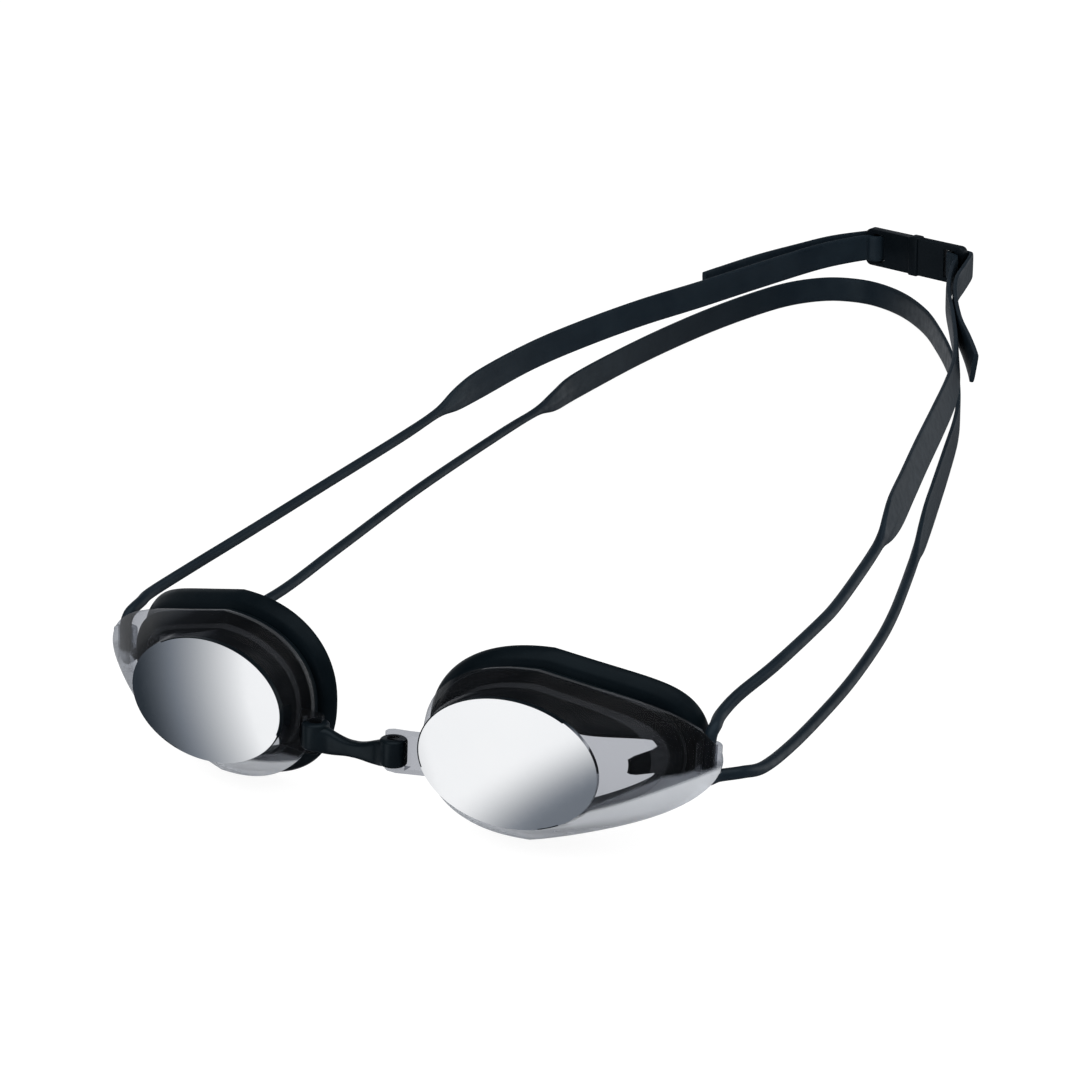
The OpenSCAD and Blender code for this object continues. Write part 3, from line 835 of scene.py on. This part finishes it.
def strap(name, route, steps=8):
    """One stretch of the strap, lofted along its route."""
    spots, ways = strap_line(route, steps)
    side = np.array([1.0, 0, 0])
    rings = []
    for (x, y, z, w, t, twist, ridge), way in zip(spots, ways):
        side = side - side.dot(way) * way
        side /= np.linalg.norm(side)
        up = np.cross(way, side)
        c, s = math.cos(math.radians(twist)), math.sin(math.radians(twist))
        across, along = c * side + s * up, c * up - s * side
        mid = np.array([x, y, z])
        section = strap_section(max(w, STRAP_LEAST), max(t, STRAP_LEAST), ridge)
        rings.append([Vector(mid + out * across + rise * along) * MM for out, rise in section])
    return loft(name, rings, angle=55)


def straps():
    made = {}
    for name, route, body, node in (
        ("left_tunnel_cord", cord_route(1), None, "left_cord"),
        ("right_tunnel_cord", cord_route(-1), None, "right_cord"),
        ("lower_strap_loop", LOWER_ROUTE, "bridge", "lower_strap"),
        ("upper_left_run", LEFT_FRONT, None, "upper_left_strap"),
        ("upper_right_run", RIGHT_FRONT, None, "upper_right_strap"),
        ("upper_left_tail", LEFT_END, None, "upper_left_end"),
        ("upper_right_tail", RIGHT_END, None, "upper_right_end"),
    ):
        made[node] = strap(name, route)
        dress(made[node], body, strap_silicone, node)
    for s, side in ((1, "left"), (-1, "right")):
        obj = made[side + "_cord"]
        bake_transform(obj)
        obj = made["upper_" + side + "_strap"]
        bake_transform(obj)
        obj = made["upper_" + side + "_end"]
        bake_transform(obj)


# Buckle

def buckle_block(x, size):
    return block(Vector(in_buckle(x, 0)[:3]) * MM, size, (0, 0, BUCKLE_TURN))


def buckle_frame():
    """Flat frame with a rib across its middle, two windows and a slit through each end."""
    buckle = named(buckle_block(0, (BUCKLE_L, BUCKLE_T, BUCKLE_H)), "buckle_frame")
    through = Vector((-math.sin(BUCKLE_TURN), math.cos(BUCKLE_TURN), 0))
    round_corners(buckle, through, BUCKLE_CORNER)
    rib = buckle_block(0, (RIB_WIDE, BUCKLE_T + 2 * RIB_OUT, BUCKLE_H + RIB_OUT))
    bevel(rib, 0.5)
    combine(buckle, rib, "UNION")
    window = GAP_Y + RIBBON_T / 2 + WINDOW_PLAY
    for side in (-1, 1):
        opening = buckle_block(side * (BAR_IN - window / 2), (window, THROUGH, RIBBON_W + WINDOW_PLAY))
        combine(buckle, opening, "DIFFERENCE")
        slit = buckle_block(side * BUCKLE_L / 2, (SLIT_LONG, THROUGH, SLIT_TALL))
        combine(buckle, slit, "DIFFERENCE")
    bevel(buckle, 0.35, 3, 40)
    smooth(buckle, 40)
    dress(buckle, "buckle", buckle_plastic, "strap_buckle")


eyecups()
nose_bridge()
straps()
buckle_frame()


# Camera: the photograph's view

AZIMUTH, ELEVATION, ROLL = math.radians(27.85), math.radians(24), math.radians(-2.73)
AIM = Vector((43.9, -MID_Y, 48.31 + LENS_Z)) * MM
CAMERA_AWAY = 0.42
PHOTO_PIXELS, FOCAL_PIXELS, SENSOR = 1080, 2314.5, 36


def camera():
    flat_part = math.cos(ELEVATION)
    back = Vector((math.sin(AZIMUTH) * flat_part, -math.cos(AZIMUTH) * flat_part, math.sin(ELEVATION)))
    level = Vector((math.cos(AZIMUTH), math.sin(AZIMUTH), 0))
    upright = back.cross(level)
    right = level * math.cos(ROLL) + upright * math.sin(ROLL)
    up = upright * math.cos(ROLL) - level * math.sin(ROLL)
    data = bpy.data.cameras.new("photo_camera")
    cam = bpy.data.objects.new("photo_camera", data)
    bpy.context.scene.collection.objects.link(cam)
    data.sensor_width = SENSOR
    data.lens = FOCAL_PIXELS / PHOTO_PIXELS * SENSOR
    data.clip_start = 0.01
    data.clip_end = 20
    turned = Matrix((right, up, back)).transposed().to_4x4()
    cam.matrix_world = Matrix.Translation(AIM + back * CAMERA_AWAY) @ turned
    bpy.context.scene.camera = cam


# Studio

def softbox(name, place, target, size, power):
    data = bpy.data.lights.new(name, "AREA")
    data.shape = "RECTANGLE"
    data.size, data.size_y = size
    data.energy = power
    light = bpy.data.objects.new(name, data)
    bpy.context.scene.collection.objects.link(light)
    light.location = place
    light.visible_glossy = False
    light.rotation_euler = (Vector(target) - Vector(place)).to_track_quat("-Z", "Y").to_euler()


def white_floor():
    """White sheet that glows for the camera and keeps a faint shadow."""
    deselect()
    bpy.ops.mesh.primitive_plane_add(size=8)
    floor = named(bpy.context.object, "studio_floor")
    mat, tree, bsdf = new_material("studio_white")
    bsdf.inputs["Base Color"].default_value = (0.9, 0.9, 0.9, 1)
    bsdf.inputs["Roughness"].default_value = 0.9
    paper = tree.nodes.new("ShaderNodeBsdfDiffuse")
    paper.inputs["Color"].default_value = (0.1, 0.1, 0.1, 1)
    glow = tree.nodes.new("ShaderNodeEmission")
    glow.inputs["Strength"].default_value = 0.93
    sheet = tree.nodes.new("ShaderNodeAddShader")
    tree.links.new(paper.outputs[0], sheet.inputs[0])
    tree.links.new(glow.outputs[0], sheet.inputs[1])
    path = tree.nodes.new("ShaderNodeLightPath")
    seen = sums(tree, "MAXIMUM", path.outputs["Is Camera Ray"], path.outputs["Is Transmission Ray"])
    surface = mix_shaders(tree, seen, bsdf.outputs[0], sheet.outputs[0])
    tree.links.new(surface, tree.nodes["Material Output"].inputs["Surface"])
    floor.data.materials.append(mat)
    floor.visible_glossy = False


ROOM_RIGHT, ROOM_UP = (0.883, -0.469, 0.0), (0.0, 0.0, 1.0)


def bright_room():
    """White light all round; reflected rays see it darker on three sides."""
    world = bpy.data.worlds.new("studio_world")
    bpy.context.scene.world = world
    world.use_nodes = True
    tree = world.node_tree
    coord = tree.nodes.new("ShaderNodeTexCoord")

    def along(direction):
        dot = tree.nodes.new("ShaderNodeVectorMath")
        dot.operation = "DOT_PRODUCT"
        dot.inputs[1].default_value = direction
        tree.links.new(coord.outputs["Generated"], dot.inputs[0])
        return dot.outputs["Value"]

    # The mirrors see a room that darkens to the far left, to the lower right and below its bright ceiling
    right, rise = along(ROOM_RIGHT), along(ROOM_UP)
    to_left = sums(tree, "MULTIPLY_ADD", rise, -0.1, sums(tree, "MULTIPLY", right, -1.0))
    to_right = sums(tree, "MULTIPLY_ADD", rise, -0.8, right)
    falling = sums(tree, "POWER", step(tree, to_left, 0.07, 0.385, 1.0, 0.17, "LINEAR"), 2.0)
    rising = step(tree, to_left, 0.42, 0.95, 0.0, 0.45, "LINEAR")
    far_left = sums(tree, "MAXIMUM", falling, rising)
    low_right = step(tree, to_right, 0.285, 0.51, 1.0, 0.18)
    overhead = shade(
        tree, rise, (0.0, 1.0), (0.22, 1.0), (0.36, 0.15), (0.66, 0.15), (0.84, 1.0), (1.0, 1.0))
    brightness = sums(tree, "MULTIPLY", sums(tree, "MULTIPLY", far_left, low_right), overhead)
    room = shade(tree, brightness, (0.0, (0.0, 0.005, 0.01)), (0.2, (0.18, 0.2, 0.23)), (1.0, 1.0))

    path = tree.nodes.new("ShaderNodeLightPath")
    choice = tree.nodes.new("ShaderNodeMix")
    choice.data_type = "RGBA"
    choice.inputs["A"].default_value = (1, 1, 1, 1)
    tree.links.new(path.outputs["Is Glossy Ray"], choice.inputs["Factor"])
    tree.links.new(room, choice.inputs["B"])
    background = tree.nodes["Background"]
    tree.links.new(choice.outputs["Result"], background.inputs["Color"])
    background.inputs["Strength"].default_value = 1.0


bpy.context.scene.view_settings.view_transform = "Standard"
camera()
white_floor()
bright_room()
softbox("key_softbox", (-0.35, -0.45, 0.75), (0, 0.05, 0), (0.5, 0.4), 6)
softbox("side_softbox", (0.7, 0.1, 0.6), (0, 0.15, 0), (0.4, 0.6), 5)
